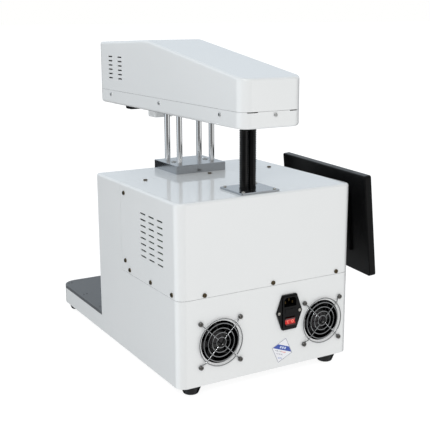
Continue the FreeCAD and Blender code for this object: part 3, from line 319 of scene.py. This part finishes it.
ground_steel("steel_plate", (0.02, 1.0, 1.0), (148, 152, 156), (176, 180, 184), 0.16)
ground_steel("bright_steel", (1.0, 1.0, 14.0), (222, 223, 225), (238, 239, 240), 0.02, 700.0, 0.0000002)
ground_steel("zinc_steel", (1.0, 1.0, 1.0), (176, 178, 180), (208, 209, 206), 0.30, 500.0)
ground_steel("aluminium_block", (1.0, 0.03, 1.0), (196, 198, 201), (220, 221, 223), 0.30)
ground_steel("brass", (1.0, 1.0, 10.0), (52, 44, 28), (84, 70, 44), 0.30)
ground_steel("guard_chrome", (1.0, 1.0, 1.0), (128, 130, 132), (160, 161, 162), 0.04, 240.0, 0.0000005)
ground_steel("screw_bronze", (1.0, 1.0, 1.0), (62, 55, 44), (108, 96, 74), 0.24, 900.0)
ground_steel("fan_screw_steel", (1.0, 1.0, 1.0), (72, 71, 70), (124, 122, 119), 0.14, 900.0)
print(len(FINISHES), "metal finishes")

# %% [markdown]
# ## Plastics, rubber and glass
# Moulded black parts take the grain of their mould, which shows as a soft sheen and not as a
# colour. The conduit is a softer plastic with dust in its grooves. The rocker is clear red
# plastic over a small lamp, so its middle glows a little, and it carries a bar and a ring. Its
# base colour holds painted light too: a bright red painted glow across the middle and painted
# shade in dark red at its top and bottom.

# %% Finishes of the other parts
def moulded(name, low, high, rough, grains=1500.0, depth=0.00002, steady=None):
    """Plastic or rubber out of a textured mould."""
    made = Finish(name, steady)
    skin = made.grain(grains, detail=2.0)
    dust = made.fade(made.grain(60.0, detail=4.0), 0.48, 0.72)
    made.give("Base Color", made.tint(dust, shade(*low), shade(*high)))
    made.give("Roughness", rough + 0.10 * skin + 0.08 * dust)
    made.relief(skin, depth)
    FINISHES[name] = made
    return made


moulded("black_plastic", (10, 10, 11), (18, 18, 19), 0.18, steady={"Specular IOR Level": 0.16})
moulded("fan_moulding", (6, 6, 7), (13, 13, 14), 0.06, 900.0, 0.000002, {"Specular IOR Level": 0.40})
moulded("black_rubber", (7, 7, 8), (14, 14, 14), 0.16, 900.0, 0.000006, {"Specular IOR Level": 0.20})
moulded("conduit_plastic", (7, 7, 8), (16, 16, 15), 0.10, 1100.0, 0.000002, {"Specular IOR Level": 0.35})
moulded("screen_shell", (8, 8, 9), (13, 13, 14), 0.24, 1900.0, 0.000008, {"Specular IOR Level": 0.14})
moulded("black_steel", (26, 26, 28), (38, 38, 39), 0.36, 1200.0, 0.00001, {"Metallic": 0.4})
moulded("ceramic", (206, 203, 194), (214, 211, 204), 0.22, 500.0)
moulded("foil_gold", (206, 160, 72), (222, 182, 96), 0.14, 300.0, 0.00001, {"Metallic": 0.9})
moulded("screen_black", (6, 6, 7), (12, 12, 13), 0.04, 200.0, 0.000001,
         {"Coat Weight": 1.0, "Coat Roughness": 0.02})
moulded("lens_clear", (226, 236, 246), (236, 242, 250), 0.06, 200.0, 0.000002,
         {"Transmission Weight": 0.9})

rocker = Finish("rocker_red", {"Emission Strength": 0.32, "Coat Weight": 0.5, "Coat Roughness": 0.06})
rocker_middle = middle("power_rocker")
across = rocker.along("x") - rocker_middle.x
up = rocker.along("z") - rocker_middle.z
bar = rocker.near(across, 4.6 * MM, 0.6 * MM) * rocker.near(up, 0.0, 3.0 * MM)
face_place = rocker.node("ShaderNodeCombineXYZ", {}, {0: across, 2: up})
from_ring = rocker.node("ShaderNodeVectorMath", {"operation": "DISTANCE"},
                        {0: face_place, 1: (-4.4 * MM, 0.0, 0.0)}, "Value")
marks = bar + rocker.near(from_ring, 2.0 * MM, 0.45 * MM)
streaks = rocker.grain(260.0)
# Painted light in the base colour: bright red across the middle is a painted glow and dark red at top and
# bottom is painted shade. The same band also shapes the lamp's emission.
lamp_band_and_painted_shade = 1 - rocker.fade(rocker.size(up), 2.6 * MM, 4.4 * MM)
painted_glow_red = rocker.tint(streaks, shade(150, 12, 12), shade(206, 24, 18))
red = rocker.tint(lamp_band_and_painted_shade, shade(58, 6, 6), painted_glow_red)
rocker.give("Base Color", rocker.tint(marks, red, shade(226, 120, 100)))
lamp_glow = rocker.tint(streaks, shade(130, 6, 4), shade(236, 34, 18))
through_plastic = rocker.tint(lamp_band_and_painted_shade, shade(20, 0, 0), lamp_glow)
rocker.give("Emission Color", rocker.tint(marks * lamp_band_and_painted_shade, through_plastic, shade(255, 150, 120)))
rocker.give("Roughness", 0.14 + 0.10 * streaks)
FINISHES["rocker_red"] = rocker

board = Finish("circuit_green")
tracks = board.fade(board.grain(300.0, (1.0, 0.3, 1.0), 1.0), 0.46, 0.50)
board_middle = middle("control_board")
# A pale yellow patch on the board behind the side vents is a painted glint, not a part of that colour.
painted_glint_along = board.near(board.along("y"), board_middle.y + 42.0 * MM, 10.5 * MM)
painted_glint_up = board.near(board.along("z"), board_middle.z + 13.0 * MM, 27.0 * MM)
painted_glint_patch = painted_glint_along * painted_glint_up
lacquer = board.tint(tracks, shade(34, 92, 44), shade(58, 122, 58))
board.give("Base Color", board.tint(painted_glint_patch, lacquer, shade(196, 198, 92)))
board.give("Roughness", 0.30 + 0.20 * tracks)
board.relief(tracks, 0.00003)
FINISHES["circuit_green"] = board
print(len(FINISHES), "finishes so far")

# %% [markdown]
# ## The rating label
# A printed film, cut square and stuck on one corner, a little askew. Two directions are worked
# out on the label itself, so each printed area is a plain range along them: a thin border, a
# blue band with pale blocks, and faint rows where the small print would be. It carries no words.

# %% Label print
LEAN = math.radians(20.4)
BORDER_REACH = 20.9
BAND_HEIGHT = 8.0
label = Finish("label_white", {"Coat Weight": 0.4, "Coat Roughness": 0.12})
label_middle = middle("rating_label")
from_x = label.along("x") - label_middle.x
from_z = label.along("z") - label_middle.z
print_across = (from_x * -math.cos(LEAN) - from_z * math.sin(LEAN)) * (1 / MM)
print_up = (from_x * -math.sin(LEAN) + from_z * math.cos(LEAN)) * (1 / MM)
from_middle = label.size(print_across) + label.size(print_up)
border = label.near(from_middle, BORDER_REACH, 0.55)
within = label.fade(from_middle, 20.2, 20.0)
band = label.near(print_up, 4.6, BAND_HEIGHT / 2) * within
outer_blocks = label.near(label.size(label.size(print_across) - 4.6), 0.0, 1.5)
middle_block = label.near(print_across, 0.0, 1.5)
blocks = (outer_blocks + middle_block) * label.near(print_up, 4.8, 1.9)
letters = label.fade(label.grain(1100.0, detail=1.0), 0.48, 0.54)
first_row = label.near(print_up, -2.4, 0.9) * label.near(print_across, -2.0, 11.5) * letters
second_row = label.near(print_up, -7.2, 0.8) * label.near(print_across, -3.0, 7.0) * letters
last_row = label.near(print_up, -13.4, 1.2) * label.near(print_across, 0.0, 4.4) * letters
film = label.tint(label.grain(60.0), shade(232, 233, 238), shade(240, 241, 244))
film = label.tint(border, film, shade(128, 132, 142))
film = label.tint(band, film, shade(38, 74, 168))
film = label.tint(band * blocks, film, shade(206, 216, 238))
grey_to_red = label.fade(print_across, -2.0, 0.0)
row_ink = label.tint(grey_to_red, shade(120, 124, 140), shade(232, 120, 112))
film = label.tint(first_row, film, row_ink)
film = label.tint(second_row, film, shade(150, 140, 160))
film = label.tint(last_row, film, shade(110, 130, 190))
label.give("Base Color", film)
label.give("Roughness", 0.30 + 0.08 * letters)
FINISHES["label_white"] = label
print("label print: border", BORDER_REACH, "mm from the middle, band", BAND_HEIGHT, "mm high")

# %% [markdown]
# ## Dress the frame
# Each node already names the slot it is finished in. The outside screws are the exception. Those
# of the casing are bronzed, and zinc plated where they hold the inlet and the gland plate, and
# those of the fans are darkened steel.

# %% Dress the frame
screws = FINISHES["screw_bronze"]
inlet_middle = middle("inlet_body")
gland_middle = middle("conduit_gland_plate")
by_inlet = (screws.near(screws.along("x"), inlet_middle.x, 26.0 * MM)
            * screws.near(screws.along("z"), inlet_middle.z, 6.0 * MM))
above_gland = gland_middle.z + 0.7 * MM
on_gland = (screws.fade(screws.along("z"), above_gland, above_gland + 0.4 * MM)
            * screws.near(screws.along("x"), gland_middle.x, 40.0 * MM))
bronze = screws.tint(screws.grain(900.0), shade(62, 55, 44), shade(108, 96, 74))
screws.give("Base Color", screws.tint(by_inlet + on_gland, bronze, shade(190, 188, 182)))
OWN_FINISH = {"casing_screws": "screw_bronze", "fan_screws": "fan_screw_steel"}
for name, piece in NODES.items():
    slot = piece.data.materials[0].name.split(".")[0]
    piece.data.materials[0] = FINISHES[OWN_FINISH.get(name, slot)].material
print("dressed", len(NODES), "nodes")

# %% [markdown]
# ## Fan rotors
# An axial fan's blade is twisted: the tip moves faster than the root, so it lies flatter to push
# the same air. Each blade is lofted from sections at growing radius, with its own pitch, chord
# and a little sweep, as the mould would be cut. The hub is turned from one outline, with a rounded
# rim and a shallow dish. Its lengths are millimetres from the fan's middle.

# %% Fan rotors
BLADES = 7
HUB_RADIUS = 17.0
TIP_RADIUS = 36.6
ROOT_SUNK = 0.8
ROOT_PITCH, TIP_PITCH = 50, 30
ROOT_CHORD, TIP_CHORD = 15.5, 25.0
TIP_SWEEP = 14
HALF_THICK = 0.75
CAMBER = 1.5
BLADE_DROP = 0.6
STATIONS, ACROSS = 9, 10
HUB_OUTLINE = [(0.0, 6.2), (11.6, 6.2), (12.3, 6.9), (15.0, 6.9), (16.3, 6.4), (17.0, 5.0), (17.0, -7.8),
               (15.6, -7.8), (15.6, -6.4), (2.2, -6.4), (2.2, 1.2), (0.0, 1.2)]
TURNS = 56


def turned(outline, steps):
    """Points and faces of an outline of (radius, height) pairs turned about the axis."""
    points, faces, rings = [], [], []
    for radius, height in outline:
        if radius == 0.0:
            rings.append([len(points)] * steps)
            points.append((0.0, 0.0, height))
            continue
        rings.append([len(points) + k for k in range(steps)])
        for k in range(steps):
            turn = 2 * math.pi * k / steps
            points.append((radius * math.cos(turn), radius * math.sin(turn), height))
    for lower, upper in zip(rings, rings[1:]):
        for k in range(steps):
            corners = [lower[k], lower[(k + 1) % steps], upper[(k + 1) % steps], upper[k]]
            faces.append(list(dict.fromkeys(corners)))
    return points, faces


def blade(turn):
    """Points and faces of one twisted blade, lofted from the hub to the tip."""
    points, faces = [], []
    root = HUB_RADIUS - ROOT_SUNK
    for i in range(STATIONS):
        out = i / (STATIONS - 1)
        radius = root + (TIP_RADIUS - root) * out
        pitch = math.radians(ROOT_PITCH + (TIP_PITCH - ROOT_PITCH) * out)
        chord = ROOT_CHORD + (TIP_CHORD - ROOT_CHORD) * out
        sweep = math.radians(TIP_SWEEP) * out * out
        for side in (1, -1):
            for j in range(ACROSS):
                place = j / (ACROSS - 1) - 0.5
                thick = HALF_THICK * math.sqrt(max(0.05, 1 - (2 * place) ** 2))
                offset = side * thick + CAMBER * (1 - 4 * place * place)
                around_axis = place * chord * math.cos(pitch) - offset * math.sin(pitch)
                height = place * chord * math.sin(pitch) + offset * math.cos(pitch) - BLADE_DROP
                angle = turn + sweep + around_axis / radius
                points.append((radius * math.cos(angle), radius * math.sin(angle), height))
    row = 2 * ACROSS
    loop = list(range(ACROSS)) + list(range(2 * ACROSS - 1, ACROSS - 1, -1))
    for i in range(STATIONS - 1):
        for a, b in zip(loop, loop[1:] + loop[:1]):
            faces.append([i * row + a, i * row + b, (i + 1) * row + b, (i + 1) * row + a])
    faces.append(list(reversed(loop)))
    faces.append([(STATIONS - 1) * row + k for k in loop])
    return points, faces


def rotor(node):
    """A fan rotor built about the axis of the node it stands for."""
    centre = middle(node)
    points, faces = turned(HUB_OUTLINE, TURNS)
    for k in range(BLADES):
        more, skins = blade(2 * math.pi * k / BLADES)
        faces += [[len(points) + v for v in skin] for skin in skins]
        points += more
    mesh = bpy.data.meshes.new(node + "_moulding")
    placed = [(centre.x + x * MM, centre.y + z * MM, centre.z - y * MM) for x, y, z in points]
    mesh.from_pydata(placed, [], faces)
    mesh.validate()
    mesh.shade_smooth()
    mesh.set_sharp_from_angle(angle=math.radians(38))
    mesh.materials.append(FINISHES["fan_moulding"].material)
    made = bpy.data.objects.new(node + "_moulding", mesh)
    bpy.context.scene.collection.objects.link(made)
    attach(made, node)
    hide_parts(node)
    return made


for side in ("right", "left"):
    made = rotor("fan_rotor_" + side)
    print(made.name, len(made.data.polygons), "faces")
